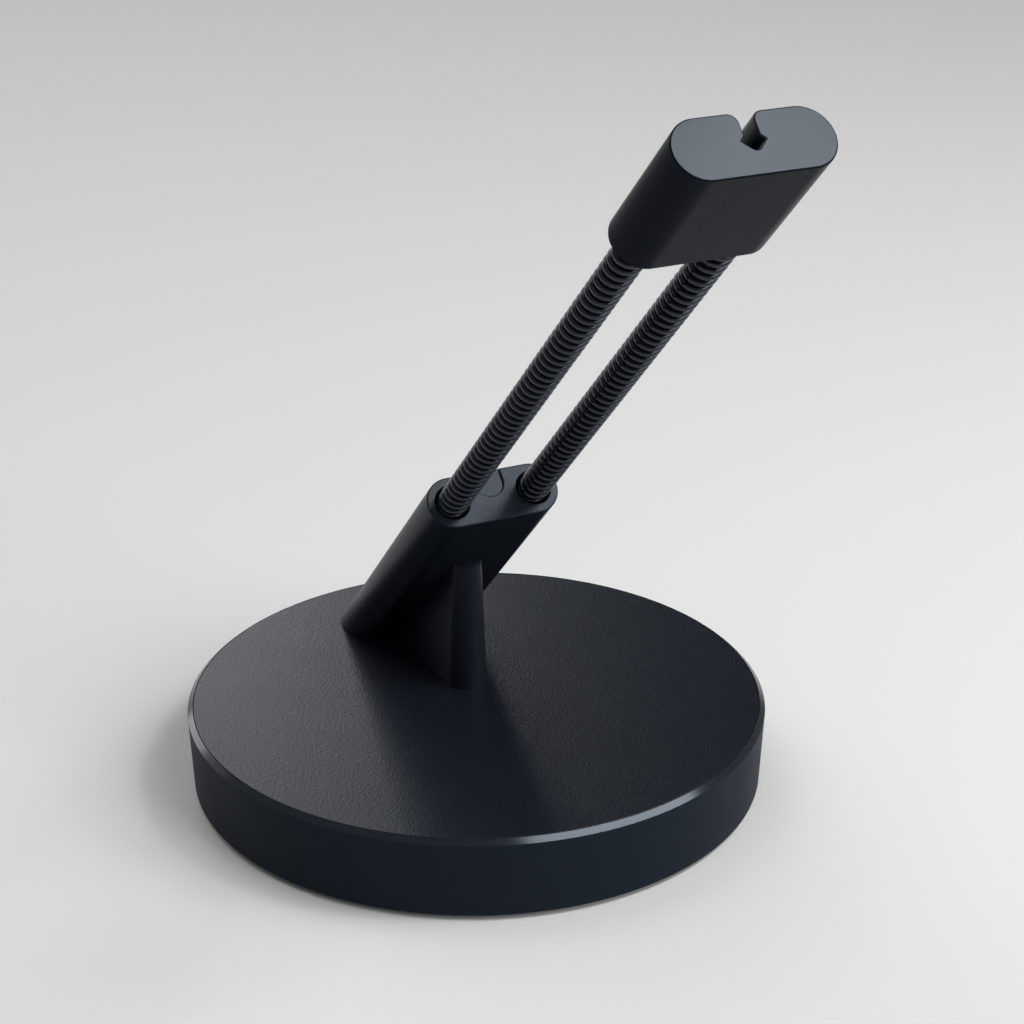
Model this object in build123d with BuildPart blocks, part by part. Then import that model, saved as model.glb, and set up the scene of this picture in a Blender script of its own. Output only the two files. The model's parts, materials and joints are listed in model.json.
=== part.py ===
from build123d import *
import os
from math import cos, hypot, pi, radians, sin, tan

# Mouse bungee: a weighted round base carries a slanted mount. Two coil springs rise out of the
# mount, side by side, to a head whose slot holds a mouse cable clear of the desk.
# Millimetres, +Z up. The origin is on the desk under the middle of the base.
# The springs stand apart along X, and the arm leans towards -Y, the front.

os.makedirs("parts", exist_ok=True)

# Base ring: the moulded wall round the base
base_diameter = 96.0
base_height = 13.4
desk_gap = 0.8
wall_draft = 2.5
wall_thickness = 3.4
rim_chamfer_width = 0.9
rim_chamfer_drop = 0.8

# Top plate: the grained disc let into the ring
plate_thickness = 2.4
plate_seam = 0.12

# Steel weight, bottom cover and rubber foot, stacked under the plate
weight_edge = 1.72
cover_thickness = 2.6
cover_clearance = 0.15
foot_thickness = 1.5
foot_margin = 2.0

# Arm: its lean, and where its axis crosses the top of the plate
arm_tilt = 45.0
arm_root_y = 31.4

# Arm mount and the gusset under it
mount_length = 54.0
mount_width = 22.5
mount_depth = 8.6
gusset_front_y = 0.7
gusset_width = 6.8
gusset_nose = 2.8
gusset_draft = 2.0
recess_width = 4.8
recess_reach = 4.4
recess_depth = 0.4

# Springs: the wire has four flats and each turn has straight sides
spring_span = 83.6
spring_spacing = 14.1
spring_diameter = 5.0
wire_diameter = 1.1
wire_sides = 4
coil_pitch = 1.72
coil_sides = 7
spring_end_gap = 0.2
socket_clearance = 0.3
socket_depth = 5.0

# Pins that stiffen the spring ends inside their sockets
pin_sides = 6
pin_clearance = 0.1
pin_length = 4.5

# Cable head and its slot
head_length = 21.3
head_width = 22.9
head_depth = 8.8
slot_neck = 2.05
slot_lip_radius = 1.4
pocket_side = 2.35
pocket_offset = 0.45

# Countersunk screws: two up through the weight into the mount, one through the cover
screw_diameter = 2.4
screw_head_diameter = 4.6
screw_head_angle = 90.0
screw_grip = 5.5
screw_spacing = 12.0
screw_hole_clearance = 0.2
screw_pilot_clearance = 0.05
screw_pilot_spare = 1.0

# Heights of the base, from the desk up
wall_bottom = desk_gap
rim_top = desk_gap + base_height
chamfer_bottom = rim_top - rim_chamfer_drop
plate_under = rim_top - plate_thickness
cover_top = foot_thickness + cover_thickness

# Radii of the base, from the outside in
base_radius = base_diameter / 2
wall_foot_radius = base_radius - tan(radians(wall_draft)) * (chamfer_bottom - wall_bottom)
plate_seat_radius = base_radius - rim_chamfer_width
plate_radius = plate_seat_radius - plate_seam
inner_radius = base_radius - wall_thickness
cover_radius = inner_radius - cover_clearance
foot_radius = cover_radius - foot_margin

# Stations along the arm's axis, counted from the top of the plate
head_start = mount_length + spring_span
coil_inset = socket_depth - spring_end_gap - wire_diameter / 2
coil_start = mount_length - coil_inset
coil_length = spring_span + 2 * coil_inset

# Springs, pins and sockets
spring_radius = spring_diameter / 2
socket_radius = spring_radius + socket_clearance
coil_radius = spring_radius - wire_diameter / 2 / cos(pi / coil_sides)
pin_radius = coil_radius * cos(pi / coil_sides) - wire_diameter / 2 - pin_clearance

# Screws: the two mount screws stand upright, so the middle of each pilot lies on the arm's axis
screw_radius = screw_diameter / 2
screw_head_radius = screw_head_diameter / 2
screw_head_height = (screw_head_radius - screw_radius) / tan(radians(screw_head_angle / 2))
screw_hole_radius = screw_radius + screw_hole_clearance
screw_sink_radius = screw_head_radius + screw_hole_clearance
pilot_radius = screw_radius + screw_pilot_clearance
pilot_depth = screw_grip + screw_pilot_spare
mount_screw_y = arm_root_y - tan(radians(arm_tilt)) * pilot_depth / 2
mount_screw_places = [(-screw_spacing / 2, mount_screw_y), (screw_spacing / 2, mount_screw_y)]

# The weight reaches past the mount screws by its edge.
weight_radius = hypot(screw_spacing / 2, mount_screw_y) + screw_sink_radius + weight_edge

arm_root = Vector(0, arm_root_y, rim_top)
arm_axis = Vector(0, -sin(radians(arm_tilt)), cos(radians(arm_tilt)))


def arm_plane(station):
    """The plane square to the arm at a station: local x across the arm, local y to its back."""
    return Plane(origin=arm_root + arm_axis * station, x_dir=(1, 0, 0), z_dir=arm_axis)


def spring_places():
    """The two springs' places across the arm."""
    return GridLocations(spring_spacing, 0, 2, 1)


def from_below(places, height):
    """Places at a height that look down, so that a hole is drilled upwards."""
    return Locations(*[Location((x, y, height), (180, 0, 0)) for x, y in places])


# Base ring: drafted wall, chamfered rim, and a ledge that the plate is bonded to
with BuildPart() as base_ring:
    with BuildSketch(Plane.XZ):
        with BuildLine():
            Polyline(
                (wall_foot_radius, wall_bottom),
                (base_radius, chamfer_bottom),
                (plate_seat_radius, rim_top),
                (plate_seat_radius, plate_under),
                (inner_radius, plate_under),
                (inner_radius, wall_bottom),
                close=True,
            )
        make_face()
    revolve(axis=Axis.Z)
base_ring.part.label = "base_ring"
export_step(base_ring.part, "parts/base_ring.step")

# Top plate: a plain disc on the ring's ledge, with holes for the mount screws
with BuildPart() as top_plate:
    with BuildSketch(Plane.XY.offset(plate_under)):
        Circle(plate_radius)
        with Locations(*mount_screw_places):
            Circle(screw_hole_radius, mode=Mode.SUBTRACT)
    extrude(amount=plate_thickness)
top_plate.part.label = "top_plate"
export_step(top_plate.part, "parts/top_plate.step")

# Steel weight: fills the height between the cover and the plate
with BuildPart() as weight_disc:
    with BuildSketch(Plane.XY.offset(cover_top)):
        Circle(weight_radius)
    extrude(amount=plate_under - cover_top)
    with from_below(mount_screw_places, cover_top):
        CounterSinkHole(screw_hole_radius, screw_sink_radius, counter_sink_angle=screw_head_angle)
    with from_below([(0, 0)], cover_top):
        Hole(pilot_radius, pilot_depth)
weight_disc.part.label = "weight_disc"
export_step(weight_disc.part, "parts/weight_disc.step")

# Bottom cover: a disc inside the ring, held to the weight by one screw in the middle
with BuildPart() as bottom_cover:
    with BuildSketch(Plane.XY.offset(foot_thickness)):
        Circle(cover_radius)
    extrude(amount=cover_thickness)
    with from_below([(0, 0)], foot_thickness):
        CounterSinkHole(screw_hole_radius, screw_sink_radius, counter_sink_angle=screw_head_angle)
bottom_cover.part.label = "bottom_cover"
export_step(bottom_cover.part, "parts/bottom_cover.step")

# Rubber foot: one pad stuck over the cover and its screw
with BuildPart() as rubber_foot:
    with BuildSketch(Plane.XY):
        Circle(foot_radius)
    extrude(amount=foot_thickness)
rubber_foot.part.label = "rubber_foot"
export_step(rubber_foot.part, "parts/rubber_foot.step")

# A screw stands on its head's end.
on_end = (Align.CENTER, Align.CENTER, Align.MIN)

# Cover screw: flush with the cover, up into the weight
with BuildPart() as cover_screw:
    with Locations((0, 0, foot_thickness)):
        Cone(screw_head_radius, screw_radius, screw_head_height, align=on_end)
        Cylinder(screw_radius, cover_thickness + screw_grip, align=on_end)
cover_screw.part.label = "cover_screw"
export_step(cover_screw.part, "parts/cover_screw.step")

# Mount screws: flush with the weight's underside, up through the plate into the mount
with BuildPart() as mount_screws:
    with Locations(*[(x, y, cover_top) for x, y in mount_screw_places]):
        Cone(screw_head_radius, screw_radius, screw_head_height, align=on_end)
        Cylinder(screw_radius, rim_top - cover_top + screw_grip, align=on_end)
mount_screws.part.label = "mount_screws"
export_step(mount_screws.part, "parts/mount_screws.step")

# Arm mount: slanted round-ended post with a gusset in front, on the plate
with BuildPart() as arm_mount:
    # The gusset stands upright with a rounded nose, and stops inside the slanted post.
    gusset_side = gusset_width / 2
    gusset_shoulder_y = gusset_front_y + gusset_nose
    with BuildSketch(Plane.XY.offset(rim_top)):
        with BuildLine():
            ThreePointArc(
                (-gusset_side, gusset_shoulder_y),
                (0, gusset_front_y),
                (gusset_side, gusset_shoulder_y),
            )
            Polyline(
                (gusset_side, gusset_shoulder_y),
                (gusset_side, arm_root_y),
                (-gusset_side, arm_root_y),
                (-gusset_side, gusset_shoulder_y),
            )
        make_face()
    extrude(amount=(arm_root_y - gusset_front_y) / tan(radians(arm_tilt)), taper=gusset_draft)
    split(bisect_by=Plane(origin=arm_root, z_dir=arm_plane(0).y_dir), keep=Keep.BOTTOM)
    # The post starts below the plate's top, where it is cut off level.
    post_root = -mount_depth * tan(radians(arm_tilt))
    with BuildSketch(arm_plane(post_root)):
        SlotOverall(mount_width, mount_depth)
    extrude(amount=mount_length - post_root)
    split(bisect_by=Plane.XY.offset(rim_top), keep=Keep.TOP)
    # Sockets for the springs
    with BuildSketch(arm_plane(mount_length)):
        with spring_places():
            Circle(socket_radius)
    extrude(amount=-socket_depth, mode=Mode.SUBTRACT)
    # A shallow round-ended recess at the middle of the back edge
    recess_middle_y = mount_depth / 2 - recess_reach + recess_width / 2
    with BuildSketch(arm_plane(mount_length)):
        with Locations((0, recess_middle_y)):
            Circle(recess_width / 2)
            Rectangle(recess_width, mount_depth, align=(Align.CENTER, Align.MIN))
    extrude(amount=-recess_depth, mode=Mode.SUBTRACT)
    with from_below(mount_screw_places, rim_top):
        Hole(pilot_radius, pilot_depth)
arm_mount.part.label = "arm_mount"
export_step(arm_mount.part, "parts/arm_mount.step")

# Cable head: the round-ended section with its slot, extruded along the arm
with BuildPart() as cable_head:
    with BuildSketch(arm_plane(head_start)) as head_section:
        SlotOverall(head_width, head_depth)
        with Locations((0, pocket_offset)):
            Rectangle(slot_neck, head_depth, align=(Align.CENTER, Align.MIN), mode=Mode.SUBTRACT)
            Rectangle(pocket_side, pocket_side, rotation=45, mode=Mode.SUBTRACT)
        lips = head_section.vertices().sort_by_distance((0, head_depth / 2))[:2]
        fillet(lips, slot_lip_radius)
    extrude(amount=head_length)
    with BuildSketch(arm_plane(head_start)):
        with spring_places():
            Circle(socket_radius)
    extrude(amount=socket_depth, mode=Mode.SUBTRACT)
cable_head.part.label = "cable_head"
export_step(cable_head.part, "parts/cable_head.step")

# Springs and the pins in their ends, one set on each side of the arm
coil_steps = round(coil_length / coil_pitch * coil_sides)
coil_turn = 2 * pi / coil_sides
coil_points = [
    (
        coil_radius * cos(step * coil_turn),
        coil_radius * sin(step * coil_turn),
        coil_length * step / coil_steps,
    )
    for step in range(coil_steps + 1)
]

for side, spring_x in (("left", -spring_spacing / 2), ("right", spring_spacing / 2)):
    beside = Location((spring_x, 0, 0))

    # Spring: the wire swept along right-handed turns, mitred from side to side
    with BuildPart() as spring:
        with BuildLine(beside * arm_plane(coil_start)) as coil:
            Polyline(*coil_points)
        with BuildSketch(Plane(origin=coil.line @ 0, x_dir=(1, 0, 0), z_dir=coil.line % 0)):
            RegularPolygon(wire_diameter / 2, wire_sides)
        sweep(transition=Transition.RIGHT)
    spring.part.label = f"{side}_spring"
    export_step(spring.part, f"parts/{side}_spring.step")

    # Lower pin: on the floor of the mount's socket, inside the spring's first turns
    with BuildPart() as lower_pin:
        with BuildSketch(beside * arm_plane(mount_length - socket_depth)):
            RegularPolygon(pin_radius, pin_sides)
        extrude(amount=pin_length)
    lower_pin.part.label = f"{side}_lower_pin"
    export_step(lower_pin.part, f"parts/{side}_lower_pin.step")

    # Upper pin: against the end of the head's socket, inside the spring's last turns
    with BuildPart() as upper_pin:
        with BuildSketch(beside * arm_plane(head_start + socket_depth)):
            RegularPolygon(pin_radius, pin_sides)
        extrude(amount=-pin_length)
    upper_pin.part.label = f"{side}_upper_pin"
    export_step(upper_pin.part, f"parts/{side}_upper_pin.step")
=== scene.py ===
"""Looks of a mouse bungee.

A weighted round base carries a slanted mount, two coil springs and a slotted cable head. Metres
throughout, +Z up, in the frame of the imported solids. The arm leans towards -Y, the front.
"""

import json
import logging
import math
from dataclasses import dataclass
from enum import Enum, IntEnum

import bmesh
import bpy
from mathutils import Matrix, Quaternion, Vector


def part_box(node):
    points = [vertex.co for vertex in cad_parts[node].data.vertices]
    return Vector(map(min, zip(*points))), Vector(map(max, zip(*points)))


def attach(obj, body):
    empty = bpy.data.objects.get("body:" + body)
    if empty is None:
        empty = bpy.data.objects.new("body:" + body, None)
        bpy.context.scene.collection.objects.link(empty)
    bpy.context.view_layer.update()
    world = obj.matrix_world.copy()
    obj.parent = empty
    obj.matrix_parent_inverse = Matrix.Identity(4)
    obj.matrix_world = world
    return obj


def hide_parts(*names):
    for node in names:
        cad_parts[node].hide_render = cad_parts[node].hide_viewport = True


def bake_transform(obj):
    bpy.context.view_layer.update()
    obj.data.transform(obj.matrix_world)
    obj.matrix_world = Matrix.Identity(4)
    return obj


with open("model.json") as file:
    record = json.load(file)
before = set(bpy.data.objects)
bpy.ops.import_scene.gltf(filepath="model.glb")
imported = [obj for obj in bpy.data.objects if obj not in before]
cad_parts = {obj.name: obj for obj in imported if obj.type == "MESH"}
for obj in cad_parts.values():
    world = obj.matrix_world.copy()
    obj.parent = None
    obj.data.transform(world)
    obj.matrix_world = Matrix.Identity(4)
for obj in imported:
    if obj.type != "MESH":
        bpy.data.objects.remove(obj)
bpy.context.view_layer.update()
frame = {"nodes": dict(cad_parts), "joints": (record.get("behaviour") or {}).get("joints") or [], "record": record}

MM = 0.001
UP = Vector((0, 0, 1))
ACROSS = Vector((1, 0, 0))

# How near counts as the same place or plane, how slight a bend as flat and how great a one as crisp,
# and the least cosine of directions that agree.
SAME_PLACE = 0.0005 * MM
IN_PLANE = 0.002 * MM
FLAT = math.radians(0.5)
CRISP = math.radians(35)
SAME_WAY = 0.99

# Shared by the edges and the grain of every piece.
ROUND_STEPS = 3
EVEN_WEIGHT = 50
GRAIN_DETAIL = 2.5
GRAIN_BREAK_UP = 0.6
CLOUD_DETAIL = 2.0

log = logging.getLogger("mouse_bungee")


class Slot(Enum):
    """The record's material slots."""

    BASE = "base_plastic"
    PLATE = "plate_plastic"
    COVER = "cover_plastic"
    MOUNT = "mount_plastic"
    HEAD = "head_plastic"
    FOOT = "foot_rubber"
    SPRING = "spring_wire"


class Body(Enum):
    """The two bodies that the springs join."""

    STAND = "stand"
    HEAD = "head"


class Side(Enum):
    """The side of the arm that a spring stands on, as a sign along X."""

    LEFT = -1
    RIGHT = 1


class Surface(IntEnum):
    """The number of a finish on a piece that has more than one."""

    PLAIN = 0
    BRIGHT = 1
    SLOT = 2


@dataclass(frozen=True)
class Finish:
    """A surface of one colour, broken up by a fine moulded grain and by faint, wider clouds of gloss.

    Grain sizes and depths are in metres. mottle is the share by which the grain changes the colour, and
    sweep the share by which the clouds change the roughness.
    """

    name: str
    colour: tuple[float, float, float]
    roughness: float
    grain_size: float
    grain_depth: float
    mottle: float = 0.2
    sweep: float = 0.08
    cloud_size: float = 9 * MM
    metallic: float = 0.0
    specular: float = 0.5
    gloss_tint: tuple[float, float, float] = (1.0, 1.0, 1.0)

    def material(self) -> bpy.types.Material:
        """Builds the finish as a node material.

        Returns:
            The material, or the one already made under this name.
        """
        made = bpy.data.materials.get(self.name)
        if made is not None:
            return made
        made = bpy.data.materials.new(self.name)
        made.use_nodes = True
        nodes = made.node_tree.nodes
        links = made.node_tree.links
        shader = nodes["Principled BSDF"]
        shader.inputs["Metallic"].default_value = self.metallic
        shader.inputs["Specular IOR Level"].default_value = self.specular
        shader.inputs["Specular Tint"].default_value = (*self.gloss_tint, 1)
        place = nodes.new("ShaderNodeTexCoord").outputs["Object"]

        grain = nodes.new("ShaderNodeTexNoise")
        grain.inputs["Scale"].default_value = 1 / self.grain_size
        grain.inputs["Detail"].default_value = GRAIN_DETAIL
        grain.inputs["Roughness"].default_value = GRAIN_BREAK_UP
        links.new(place, grain.inputs["Vector"])

        tint = nodes.new("ShaderNodeMix")
        tint.data_type = "RGBA"
        dark, light = (i for i in tint.inputs if i.type == "RGBA")
        dark.default_value = (*(c * (1 - self.mottle) for c in self.colour), 1)
        light.default_value = (*(c * (1 + self.mottle) for c in self.colour), 1)
        links.new(grain.outputs["Fac"], tint.inputs["Factor"])
        links.new(next(o for o in tint.outputs if o.type == "RGBA"), shader.inputs["Base Color"])

        clouds = nodes.new("ShaderNodeTexNoise")
        clouds.inputs["Scale"].default_value = 1 / self.cloud_size
        clouds.inputs["Detail"].default_value = CLOUD_DETAIL
        links.new(place, clouds.inputs["Vector"])
        gloss = nodes.new("ShaderNodeMapRange")
        gloss.inputs["To Min"].default_value = self.roughness * (1 - self.sweep)
        gloss.inputs["To Max"].default_value = self.roughness * (1 + self.sweep)
        links.new(clouds.outputs["Fac"], gloss.inputs["Value"])
        links.new(gloss.outputs["Result"], shader.inputs["Roughness"])

        relief = nodes.new("ShaderNodeBump")
        relief.inputs["Strength"].default_value = 1.0
        relief.inputs["Distance"].default_value = self.grain_depth
        links.new(grain.outputs["Fac"], relief.inputs["Height"])
        links.new(relief.outputs["Normal"], shader.inputs["Normal"])
        return made


BLUE_BLACK = (0.0065, 0.009, 0.014)
WALL_BLACK = (0.011, 0.0155, 0.023)
# Lighter and more neutral than the head's own black: painted light that brightens the slot's shaded walls.
SLOT_PAINTED_LIGHT_BLACK = (0.016, 0.018, 0.021)
WIRE_BLACK = (0.003, 0.0045, 0.0075)
COVER_BLACK = (0.014, 0.015, 0.018)
RUBBER_BLACK = (0.012, 0.012, 0.013)
STEEL_GREY = (0.42, 0.42, 0.43)
ZINC_GREY = (0.5, 0.5, 0.51)
COOL_GLOSS = (0.76, 0.86, 1.0)

WALL_SATIN = Finish(
    "wall_satin",
    WALL_BLACK,
    roughness=0.5,
    grain_size=0.3 * MM,
    grain_depth=0.002 * MM,
    specular=0.05,
    gloss_tint=COOL_GLOSS,
)
RIM_POLISH = Finish(
    "rim_polish",
    BLUE_BLACK,
    roughness=0.16,
    grain_size=0.3 * MM,
    grain_depth=0.0005 * MM,
    specular=0.55,
    gloss_tint=COOL_GLOSS,
)
PLATE_GRAIN = Finish(
    "plate_grain",
    BLUE_BLACK,
    roughness=0.32,
    grain_size=0.42 * MM,
    grain_depth=0.055 * MM,
    mottle=0.6,
    specular=0.5,
    gloss_tint=COOL_GLOSS,
)
MOUNT_GRAIN = Finish(
    "mount_grain",
    BLUE_BLACK,
    roughness=0.38,
    grain_size=0.4 * MM,
    grain_depth=0.03 * MM,
    mottle=0.4,
    specular=0.14,
    gloss_tint=COOL_GLOSS,
)
MOUNT_FACE = Finish(
    "mount_face",
    BLUE_BLACK,
    roughness=0.32,
    grain_size=0.42 * MM,
    grain_depth=0.06 * MM,
    mottle=0.6,
    specular=0.26,
    gloss_tint=COOL_GLOSS,
)
HEAD_SATIN = Finish(
    "head_satin",
    BLUE_BLACK,
    roughness=0.26,
    grain_size=0.2 * MM,
    grain_depth=0.002 * MM,
    specular=0.025,
    gloss_tint=COOL_GLOSS,
)
HEAD_FACE = Finish(
    "head_face",
    BLUE_BLACK,
    roughness=0.22,
    grain_size=0.2 * MM,
    grain_depth=0.002 * MM,
    specular=0.132,
    gloss_tint=COOL_GLOSS,
)
# The slot walls' finish: the head's plastic, glossier, and made lighter in colour as painted light where the
# narrow slot lies in shade.
SLOT_GLOSS_PAINTED_LIGHT = Finish(
    "slot_gloss_painted_light",
    SLOT_PAINTED_LIGHT_BLACK,
    roughness=0.36,
    grain_size=0.2 * MM,
    grain_depth=0.002 * MM,
    specular=0.5,
    gloss_tint=COOL_GLOSS,
)
SPRING_COAT = Finish(
    "spring_coat",
    WIRE_BLACK,
    roughness=0.13,
    grain_size=0.25 * MM,
    grain_depth=0.002 * MM,
    specular=0.6,
    gloss_tint=COOL_GLOSS,
)
COVER_MATT = Finish(
    "cover_matt",
    COVER_BLACK,
    roughness=0.55,
    grain_size=0.35 * MM,
    grain_depth=0.02 * MM,
)
FOOT_MATT = Finish(
    "foot_matt",
    RUBBER_BLACK,
    roughness=0.8,
    grain_size=0.4 * MM,
    grain_depth=0.03 * MM,
    specular=0.3,
)
TURNED_STEEL = Finish(
    "turned_steel",
    STEEL_GREY,
    roughness=0.35,
    grain_size=0.3 * MM,
    grain_depth=0.004 * MM,
    metallic=1.0,
)
PLATED_STEEL = Finish(
    "plated_steel",
    ZINC_GREY,
    roughness=0.28,
    grain_size=0.2 * MM,
    grain_depth=0.002 * MM,
    metallic=1.0,
)


def mount_place(name: str) -> Vector:
    """The place of one of the record's mounts."""
    return Vector(next(m["pos_m"] for m in frame["record"]["mounts"] if m["name"] == name))


def new_piece(bm: bmesh.types.BMesh, name: str, *finishes: Finish) -> bpy.types.Object:
    """Makes an object at the origin out of a mesh, smooth but for its crisp edges.

    Args:
        bm: The finished mesh, which is freed.
        name: The piece's name.
        finishes: Its finishes, in the order of the faces' material numbers.

    Returns:
        The new object, linked to the scene.
    """
    mesh = bpy.data.meshes.new(name)
    bm.to_mesh(mesh)
    bm.free()
    mesh.shade_smooth()
    mesh.set_sharp_from_angle(angle=CRISP)
    for finish in finishes:
        mesh.materials.append(finish.material())
    piece = bpy.data.objects.new(name, mesh)
    bpy.context.scene.collection.objects.link(piece)
    return piece


def even_shading(piece: bpy.types.Object) -> None:
    """Keeps flat faces flat beside their rounded edges.

    Args:
        piece: The piece to shade.
    """
    weighted = piece.modifiers.new("even_shading", "WEIGHTED_NORMAL")
    weighted.mode = "FACE_AREA"
    weighted.weight = EVEN_WEIGHT
    weighted.keep_sharp = True


def settle(piece: bpy.types.Object, body: Body, node: str) -> None:
    """Puts a rigid piece on its body, in the place of its solid.

    Args:
        piece: The piece, in its place.
        body: The body that it moves with.
        node: The solid that it stands for.
    """
    even_shading(piece)
    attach(piece, body.value)
    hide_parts(node)
    log.info("%s: %d faces, on %s", piece.name, len(piece.data.polygons), body.value)


def solid_copy(node: str, draft: float | None = None) -> bmesh.types.BMesh:
    """Copies a solid, merged, with its flat faces whole again.

    Args:
        node: The solid's name.
        draft: The lean of upright faces that keep their own even facets.

    Returns:
        The copy as a mesh to work on.
    """
    bm = bmesh.new()
    bm.from_mesh(frame["nodes"][node].data)
    bmesh.ops.remove_doubles(bm, verts=bm.verts, dist=SAME_PLACE)
    joins = bm.edges[:]
    if draft is not None:
        drafted = {face for face in bm.faces if abs(math.asin(face.normal.z) - draft) < FLAT}
        joins = [edge for edge in joins if drafted.isdisjoint(edge.link_faces)]
    bmesh.ops.dissolve_limit(bm, angle_limit=FLAT, verts=bm.verts, edges=joins)
    return bm


def corner_edges(bm: bmesh.types.BMesh, point: Vector, normal: Vector) -> list[bmesh.types.BMEdge]:
    """Finds the corner edges that lie in a plane.

    Args:
        bm: The mesh.
        point: A point of the plane.
        normal: The plane's normal.

    Returns:
        The edges in the plane at which two faces meet at an angle.
    """
    level = {vert for vert in bm.verts if abs((vert.co - point).dot(normal)) < IN_PLANE}
    return [e for e in bm.edges if level.issuperset(e.verts) and e.calc_face_angle(0) > CRISP]


def break_edges(bm: bmesh.types.BMesh, edges: list[bmesh.types.BMEdge], width: float) -> None:
    """Rounds edges off by a small width.

    Args:
        bm: The mesh.
        edges: The edges to round.
        width: How far the rounding reaches into the faces on either side.
    """
    bmesh.ops.bevel(
        bm,
        geom=edges,
        offset=width,
        offset_type="OFFSET",
        affect="EDGES",
        segments=ROUND_STEPS,
        profile=0.5,
        material=-1,
        clamp_overlap=True,
        loop_slide=True,
    )


@dataclass(frozen=True)
class Base:
    """The round base: a ring with a polished rim, a grained plate in it, and a cover and foot below.

    rim_rise is the span that holds the upward part of the sloping rim's normal.
    """

    rim_width: float = 0.9 * MM
    rim_drop: float = 0.8 * MM
    rim_rise: tuple[float, float] = (0.5, 0.9)
    wall_draft: float = math.radians(2.5)
    wall_thickness: float = 3.4 * MM
    rim_break: float = 0.06 * MM
    seam_break: float = 0.1 * MM
    lower_break: float = 0.35 * MM
    foot_break: float = 0.4 * MM
    steps: int = 288

    def ring(self) -> None:
        """Spins the ring and rounds its edges. Its rim has a finish of its own."""
        low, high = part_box("base_ring")
        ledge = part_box("top_plate")[0].z
        radius = max(vert.co.xy.length for vert in frame["nodes"]["base_ring"].data.vertices)
        rim_bottom = high.z - self.rim_drop
        seat = radius - self.rim_width
        inner = radius - self.wall_thickness
        wall_foot = radius - math.tan(self.wall_draft) * (rim_bottom - low.z)
        outline = [
            (wall_foot, low.z),
            (radius, rim_bottom),
            (seat, high.z),
            (seat, ledge),
            (inner, ledge),
            (inner, low.z),
        ]
        bm = bmesh.new()
        corners = [bm.verts.new((r, 0, z)) for r, z in outline]
        sides = [bm.edges.new((a, b)) for a, b in zip(corners, corners[1:] + corners[:1])]
        bmesh.ops.spin(
            bm,
            geom=corners + sides,
            cent=(0, 0, 0),
            axis=UP,
            angle=2 * math.pi,
            steps=self.steps,
            use_merge=True,
        )
        bmesh.ops.remove_doubles(bm, verts=bm.verts, dist=SAME_PLACE)
        bmesh.ops.recalc_face_normals(bm, faces=bm.faces)
        least, most = self.rim_rise
        for face in bm.faces:
            face.material_index = Surface.BRIGHT if least < face.normal.z < most else Surface.PLAIN
        rims = ((low.z, self.lower_break), (rim_bottom, self.rim_break), (high.z, self.rim_break))
        for height, width in rims:
            break_edges(bm, corner_edges(bm, UP * height, UP), width)
        settle(new_piece(bm, "base_shell", WALL_SATIN, RIM_POLISH), Body.STAND, "base_ring")

    def disc(self, node: str, name: str, finish: Finish, width: float) -> None:
        """Makes one of the base's flat discs, with its rims rounded.

        Args:
            node: The disc's solid.
            name: The piece's name.
            finish: Its finish.
            width: The width of its rounded rims.
        """
        bm = solid_copy(node)
        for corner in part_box(node):
            rims = corner_edges(bm, corner, UP)
            outer = max(edge.verts[0].co.xy.length for edge in rims)
            break_edges(bm, [e for e in rims if e.verts[0].co.xy.length > outer - IN_PLANE], width)
        settle(new_piece(bm, name, finish), Body.STAND, node)

    def build(self) -> None:
        """Builds the base from the rim down."""
        self.ring()
        self.disc("top_plate", "grained_plate", PLATE_GRAIN, self.seam_break)
        self.disc("bottom_cover", "base_cover", COVER_MATT, self.seam_break)
        self.disc("rubber_foot", "foot_pad", FOOT_MATT, self.foot_break)


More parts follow.
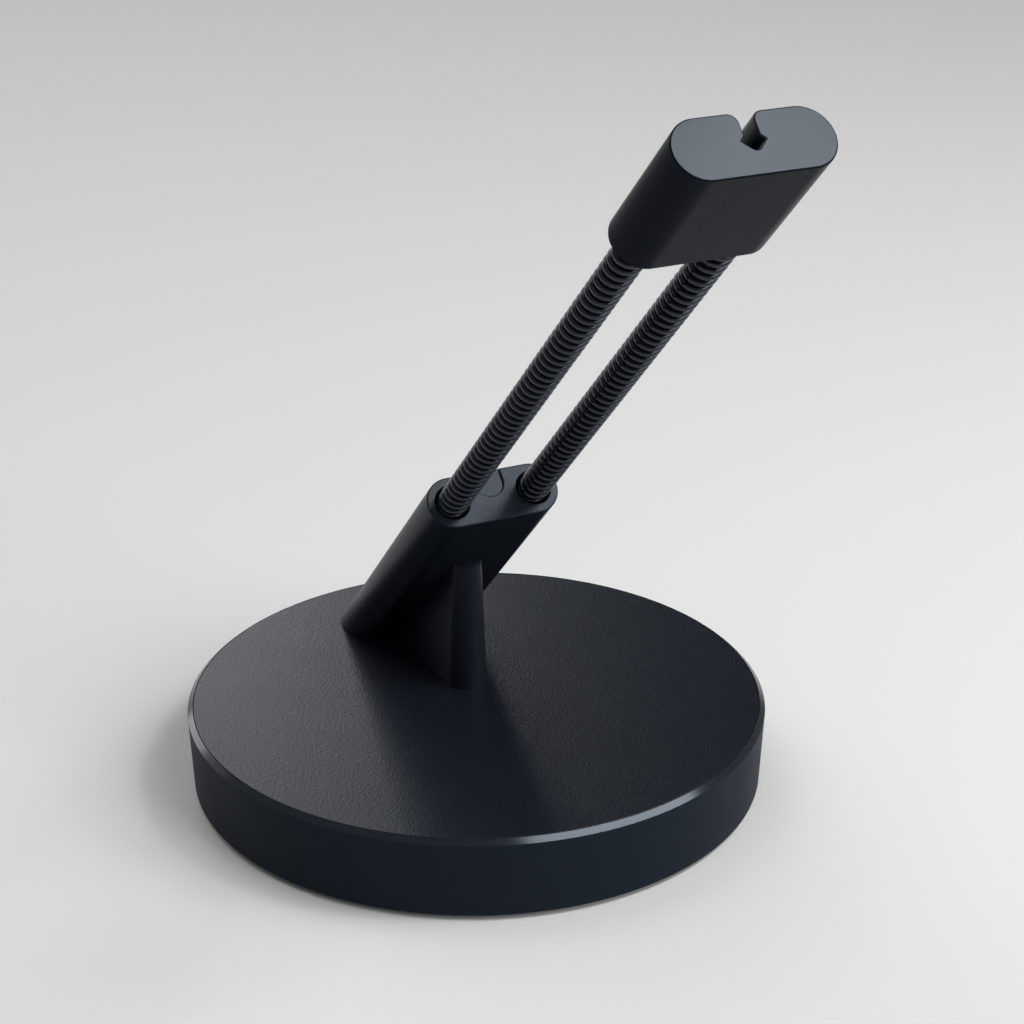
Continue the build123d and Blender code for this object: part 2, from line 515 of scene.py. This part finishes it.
@dataclass(frozen=True)
class Arm:
    """The mount, the two springs and the head, along one slanted axis.

    The axis runs through the flexing joint, half way up the springs, and the head's cable slot. The
    slot's walls lie within slot_reach of the middle, and face across the arm by at least slot_facing.
    """

    spring_span: float = 83.6 * MM
    spring_spacing: float = 14.1 * MM
    spring_diameter: float = 5.0 * MM
    wire_diameter: float = 1.1 * MM
    coil_pitch: float = 1.72 * MM
    coil_turns: int = 53
    coil_steps: int = 28
    wire_sides: int = 12
    edge_break: float = 0.22 * MM
    gusset_draft: float = math.radians(2.0)
    slot_reach: float = 2.5 * MM
    slot_facing: float = 0.5
    pocket_round: float = 0.8 * MM

    @property
    def middle(self) -> Vector:
        """The middle of the springs, where the joint is."""
        return Vector(frame["joints"][0]["pos_m"])

    @property
    def axis(self) -> Vector:
        """The unit vector up the arm."""
        return (mount_place("cable_slot") - self.middle).normalized()

    @property
    def mount_top(self) -> Vector:
        """The middle of the mount's top face."""
        return self.middle - self.axis * self.spring_span / 2

    @property
    def head_bottom(self) -> Vector:
        """The middle of the head's lower face."""
        return self.middle + self.axis * self.spring_span / 2

    def mount(self) -> None:
        """Makes the slanted mount, with the rims of its top face and sockets rounded."""
        bm = solid_copy("arm_mount", self.gusset_draft)
        break_edges(bm, corner_edges(bm, self.mount_top, self.axis), self.edge_break)
        for face in bm.faces:
            top = face.normal.dot(self.axis) > SAME_WAY
            face.material_index = Surface.BRIGHT if top else Surface.PLAIN
        piece = new_piece(bm, "slanted_mount", MOUNT_GRAIN, MOUNT_FACE)
        settle(piece, Body.STAND, "arm_mount")

    def in_slot(self, face: bmesh.types.BMFace) -> bool:
        """Tells whether a face of the head is one of the slot's walls."""
        offset = abs(face.calc_center_median().x - self.middle.x)
        return abs(face.normal.x) > self.slot_facing and offset < self.slot_reach

    def pocket_corner(self, bm: bmesh.types.BMesh) -> list[bmesh.types.BMEdge]:
        """Finds the inner corner along the bottom of the slot's pocket.

        Args:
            bm: The head's mesh, before its ends are rounded.

        Returns:
            The corner's edges.
        """
        central = {vert for vert in bm.verts if abs(vert.co.x - self.middle.x) < IN_PLANE}
        return [edge for edge in bm.edges if not edge.is_convex and central.issuperset(edge.verts)]

    def head(self) -> None:
        """Makes the slotted head, with its pocket and the rims of both its ends rounded."""
        bm = solid_copy("cable_head")
        # The slot's walls take the finish whose lighter colour is painted light in the shaded slot.
        for face in bm.faces:
            face.material_index = Surface.SLOT if self.in_slot(face) else Surface.PLAIN
        break_edges(bm, self.pocket_corner(bm), self.pocket_round)
        for end in (self.head_bottom, mount_place("cable_slot")):
            break_edges(bm, corner_edges(bm, end, self.axis), self.edge_break)
        for face in bm.faces:
            if face.normal.dot(self.axis) > SAME_WAY:
                face.material_index = Surface.BRIGHT
        piece = new_piece(bm, "slotted_head", HEAD_SATIN, HEAD_FACE, SLOT_GLOSS_PAINTED_LIGHT)
        settle(piece, Body.HEAD, "cable_head")

    def spring(self, side: Side) -> None:
        """Winds one spring: the wire's round section is spun through a turn, and the turn is repeated.

        Args:
            side: The side of the arm that the spring stands on.
        """
        rise = self.axis * self.coil_pitch
        aside = ACROSS * (side.value * self.spring_spacing / 2)
        foot = self.middle - rise * self.coil_turns / 2 + aside
        coil_radius = (self.spring_diameter - self.wire_diameter) / 2
        upright = Matrix((ACROSS, self.axis, ACROSS.cross(self.axis))).transposed().to_4x4()
        bm = bmesh.new()
        section = bmesh.ops.create_circle(
            bm,
            cap_ends=False,
            radius=self.wire_diameter / 2,
            segments=self.wire_sides,
            matrix=Matrix.Translation(foot + ACROSS * coil_radius) @ upright,
        )
        bmesh.ops.spin(
            bm,
            geom=section["verts"] + bm.edges[:],
            cent=foot,
            axis=self.axis,
            dvec=rise / self.coil_steps,
            angle=2 * math.pi,
            steps=self.coil_steps,
        )
        first_turn = [*bm.verts, *bm.edges, *bm.faces]
        for turn in range(1, self.coil_turns):
            copy = bmesh.ops.duplicate(bm, geom=first_turn)["geom"]
            moved = [part for part in copy if isinstance(part, bmesh.types.BMVert)]
            bmesh.ops.translate(bm, verts=moved, vec=rise * turn)
        bmesh.ops.remove_doubles(bm, verts=bm.verts, dist=SAME_PLACE)
        wire_ends = [edge for edge in bm.edges if edge.is_boundary]
        bmesh.ops.holes_fill(bm, edges=wire_ends, sides=self.wire_sides)
        bmesh.ops.recalc_face_normals(bm, faces=bm.faces)
        name = side.name.lower()
        piece = new_piece(bm, f"{name}_coil", SPRING_COAT)
        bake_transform(piece)
        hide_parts(f"{name}_spring")
        log.info("%s: %d faces, between stand and head", piece.name, len(piece.data.polygons))

    def build(self) -> None:
        """Builds the arm from the mount up."""
        self.mount()
        for side in Side:
            self.spring(side)
        self.head()


@dataclass(frozen=True)
class Fasteners:
    """The inner metal pieces, which keep their solids."""

    turned: tuple[str, ...] = ("weight_disc",)
    plated: tuple[str, ...] = (
        "cover_screw",
        "mount_screws",
        "left_lower_pin",
        "right_lower_pin",
        "left_upper_pin",
        "right_upper_pin",
    )

    def dress(self) -> None:
        """Gives each solid its metal."""
        for names, finish in ((self.turned, TURNED_STEEL), (self.plated, PLATED_STEEL)):
            for name in names:
                frame["nodes"][name].material_slots[0].material = finish.material()
                log.info("%s: %s", name, finish.name)


def direction(azimuth: float, elevation: float) -> Vector:
    """Finds a direction from the object.

    Args:
        azimuth: Degrees round from the front, towards +X.
        elevation: Degrees up from the floor.

    Returns:
        The unit vector.
    """
    around, up = math.radians(azimuth), math.radians(elevation)
    return Vector((math.sin(around) * math.cos(up), -math.cos(around) * math.cos(up), math.sin(up)))


def smooth_step(
    tree: bpy.types.NodeTree,
    value: bpy.types.NodeSocket,
    span: tuple[float, float],
    levels: tuple[float, float],
) -> bpy.types.NodeSocket:
    """Adds a node that goes smoothly from one level to another.

    Args:
        tree: The node tree.
        value: The value that it follows.
        span: The values at which it starts and ends.
        levels: What it gives before and after.

    Returns:
        Its output.
    """
    step = tree.nodes.new("ShaderNodeMapRange")
    step.interpolation_type = "SMOOTHSTEP"
    for name, number in zip(("From Min", "From Max", "To Min", "To Max"), span + levels):
        step.inputs[name].default_value = number
    tree.links.new(value, step.inputs["Value"])
    return step.outputs["Result"]


@dataclass(frozen=True)
class Softbox:
    """A soft lamp aimed at the object.

    Angles are in degrees, as seen from the object, with azimuth 0 at the front. roll turns the lamp about
    its aim, and brightness is its radiance.
    """

    name: str
    azimuth: float
    elevation: float
    distance: float
    width: float
    height: float
    brightness: float
    roll: float = 0.0

    def hang(self, target: Vector) -> None:
        """Adds the lamp to the scene.

        Args:
            target: The point that it faces.
        """
        towards = direction(self.azimuth, self.elevation)
        lamp = bpy.data.lights.new(self.name, "AREA")
        lamp.shape = "RECTANGLE"
        lamp.size, lamp.size_y = self.width, self.height
        lamp.energy = self.brightness * math.pi * self.width * self.height
        holder = bpy.data.objects.new(self.name, lamp)
        holder.location = target + towards * self.distance
        aim = (-towards).to_track_quat("-Z", "Y")
        holder.rotation_euler = (aim @ Quaternion(UP, math.radians(self.roll))).to_euler()
        holder.visible_camera = False
        bpy.context.scene.collection.objects.link(holder)


@dataclass(frozen=True)
class Studio:
    """The pale floor, the room, the soft lamps and the camera.

    Angles are in degrees. horizon_span gives the heights between which the room goes from its horizon
    light to its overhead light. The plate mirrors the dark panel, which covers panel_reach and is gone
    at panel_fade.
    """

    camera_place: tuple[float, float, float] = (-145.98 * MM, -317.77 * MM, 198.1 * MM)
    camera_pitch: float = 66.6
    camera_yaw: float = -25.64
    lens_mm: float = 82.87
    sensor_mm: float = 36.0
    floor_size: float = 12.0
    floor_colour: tuple[float, float, float] = (0.76, 0.76, 0.76)
    floor_roughness: float = 0.9
    floor_gloss: float = 0.1
    horizon_span: tuple[float, float] = (0.02, 0.12)
    horizon_light: float = 0.32
    overhead_light: float = 0.25
    panel_azimuth: float = 156.0
    panel_elevation: float = 26.0
    panel_reach: float = 26.0
    panel_fade: float = 50.0
    panel_light: float = 0.1
    target: tuple[float, float, float] = (0.0, -0.02, 0.05)
    lamps: tuple[Softbox, ...] = (
        Softbox(
            "key_softbox",
            azimuth=53.5,
            elevation=58.0,
            distance=0.585,
            width=0.1,
            height=0.1,
            brightness=18.0,
        ),
        Softbox(
            "strip_softbox",
            azimuth=48.0,
            elevation=52.0,
            distance=0.6,
            width=0.6,
            height=0.14,
            brightness=6.5,
            roll=-34.0,
        ),
        Softbox(
            "low_softbox",
            azimuth=36.0,
            elevation=24.0,
            distance=3.9,
            width=3.19,
            height=1.77,
            brightness=4.2,
        ),
        Softbox(
            "back_softbox",
            azimuth=183.5,
            elevation=18.0,
            distance=3.5,
            width=3.0,
            height=1.9,
            brightness=2.15,
        ),
        Softbox(
            "top_softbox",
            azimuth=200.0,
            elevation=62.0,
            distance=0.9,
            width=0.6,
            height=0.6,
            brightness=1.3,
        ),
        Softbox(
            "rim_softbox",
            azimuth=213.0,
            elevation=14.0,
            distance=3.5,
            width=1.05,
            height=1.58,
            brightness=0.35,
        ),
    )

    def floor(self) -> None:
        """Lays the pale floor."""
        bm = bmesh.new()
        bmesh.ops.create_grid(bm, x_segments=1, y_segments=1, size=self.floor_size / 2)
        mesh = bpy.data.meshes.new("floor")
        bm.to_mesh(mesh)
        bm.free()
        paint = bpy.data.materials.new("floor_paint")
        paint.use_nodes = True
        matt = paint.node_tree.nodes["Principled BSDF"]
        matt.inputs["Base Color"].default_value = (*self.floor_colour, 1)
        matt.inputs["Roughness"].default_value = self.floor_roughness
        matt.inputs["Specular IOR Level"].default_value = self.floor_gloss
        mesh.materials.append(paint)
        floor = bpy.data.objects.new("floor", mesh)
        bpy.context.scene.collection.objects.link(floor)

    def surroundings(self) -> None:
        """Makes the room, palest low down like a studio's curved wall, with a dark panel behind."""
        room = bpy.data.worlds.new("studio_room")
        bpy.context.scene.world = room
        room.use_nodes = True
        tree = room.node_tree
        look = tree.nodes.new("ShaderNodeTexCoord").outputs["Generated"]

        parts = tree.nodes.new("ShaderNodeSeparateXYZ")
        tree.links.new(look, parts.inputs["Vector"])
        lights = (self.horizon_light, self.overhead_light)
        wall = smooth_step(tree, parts.outputs["Z"], self.horizon_span, lights)

        nearness = tree.nodes.new("ShaderNodeVectorMath")
        nearness.operation = "DOT_PRODUCT"
        nearness.inputs[1].default_value = direction(self.panel_azimuth, self.panel_elevation)
        tree.links.new(look, nearness.inputs[0])
        edges = (math.cos(math.radians(self.panel_fade)), math.cos(math.radians(self.panel_reach)))
        panel = smooth_step(tree, nearness.outputs["Value"], edges, (1.0, self.panel_light))

        level = tree.nodes.new("ShaderNodeMath")
        level.operation = "MULTIPLY"
        tree.links.new(wall, level.inputs[0])
        tree.links.new(panel, level.inputs[1])
        background = tree.nodes["Background"]
        background.inputs["Color"].default_value = (1, 1, 1, 1)
        tree.links.new(level.outputs["Value"], background.inputs["Strength"])

    def camera(self) -> None:
        """Sets the camera up at the photograph's angle."""
        eye = bpy.data.cameras.new("camera")
        eye.lens = self.lens_mm
        eye.sensor_width = self.sensor_mm
        holder = bpy.data.objects.new("camera", eye)
        holder.location = self.camera_place
        holder.rotation_euler = (math.radians(self.camera_pitch), 0, math.radians(self.camera_yaw))
        bpy.context.scene.collection.objects.link(holder)
        bpy.context.scene.camera = holder

    def build(self) -> None:
        """Builds the studio."""
        self.floor()
        self.surroundings()
        for lamp in self.lamps:
            lamp.hang(Vector(self.target))
        self.camera()
        bpy.context.scene.view_settings.view_transform = "Standard"


def main() -> None:
    """Builds the studio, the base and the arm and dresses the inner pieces."""
    logging.basicConfig(level=logging.INFO, format="%(name)s %(message)s")
    Studio().build()
    Base().build()
    Arm().build()
    Fasteners().dress()


if __name__ == "__main__":
    main()
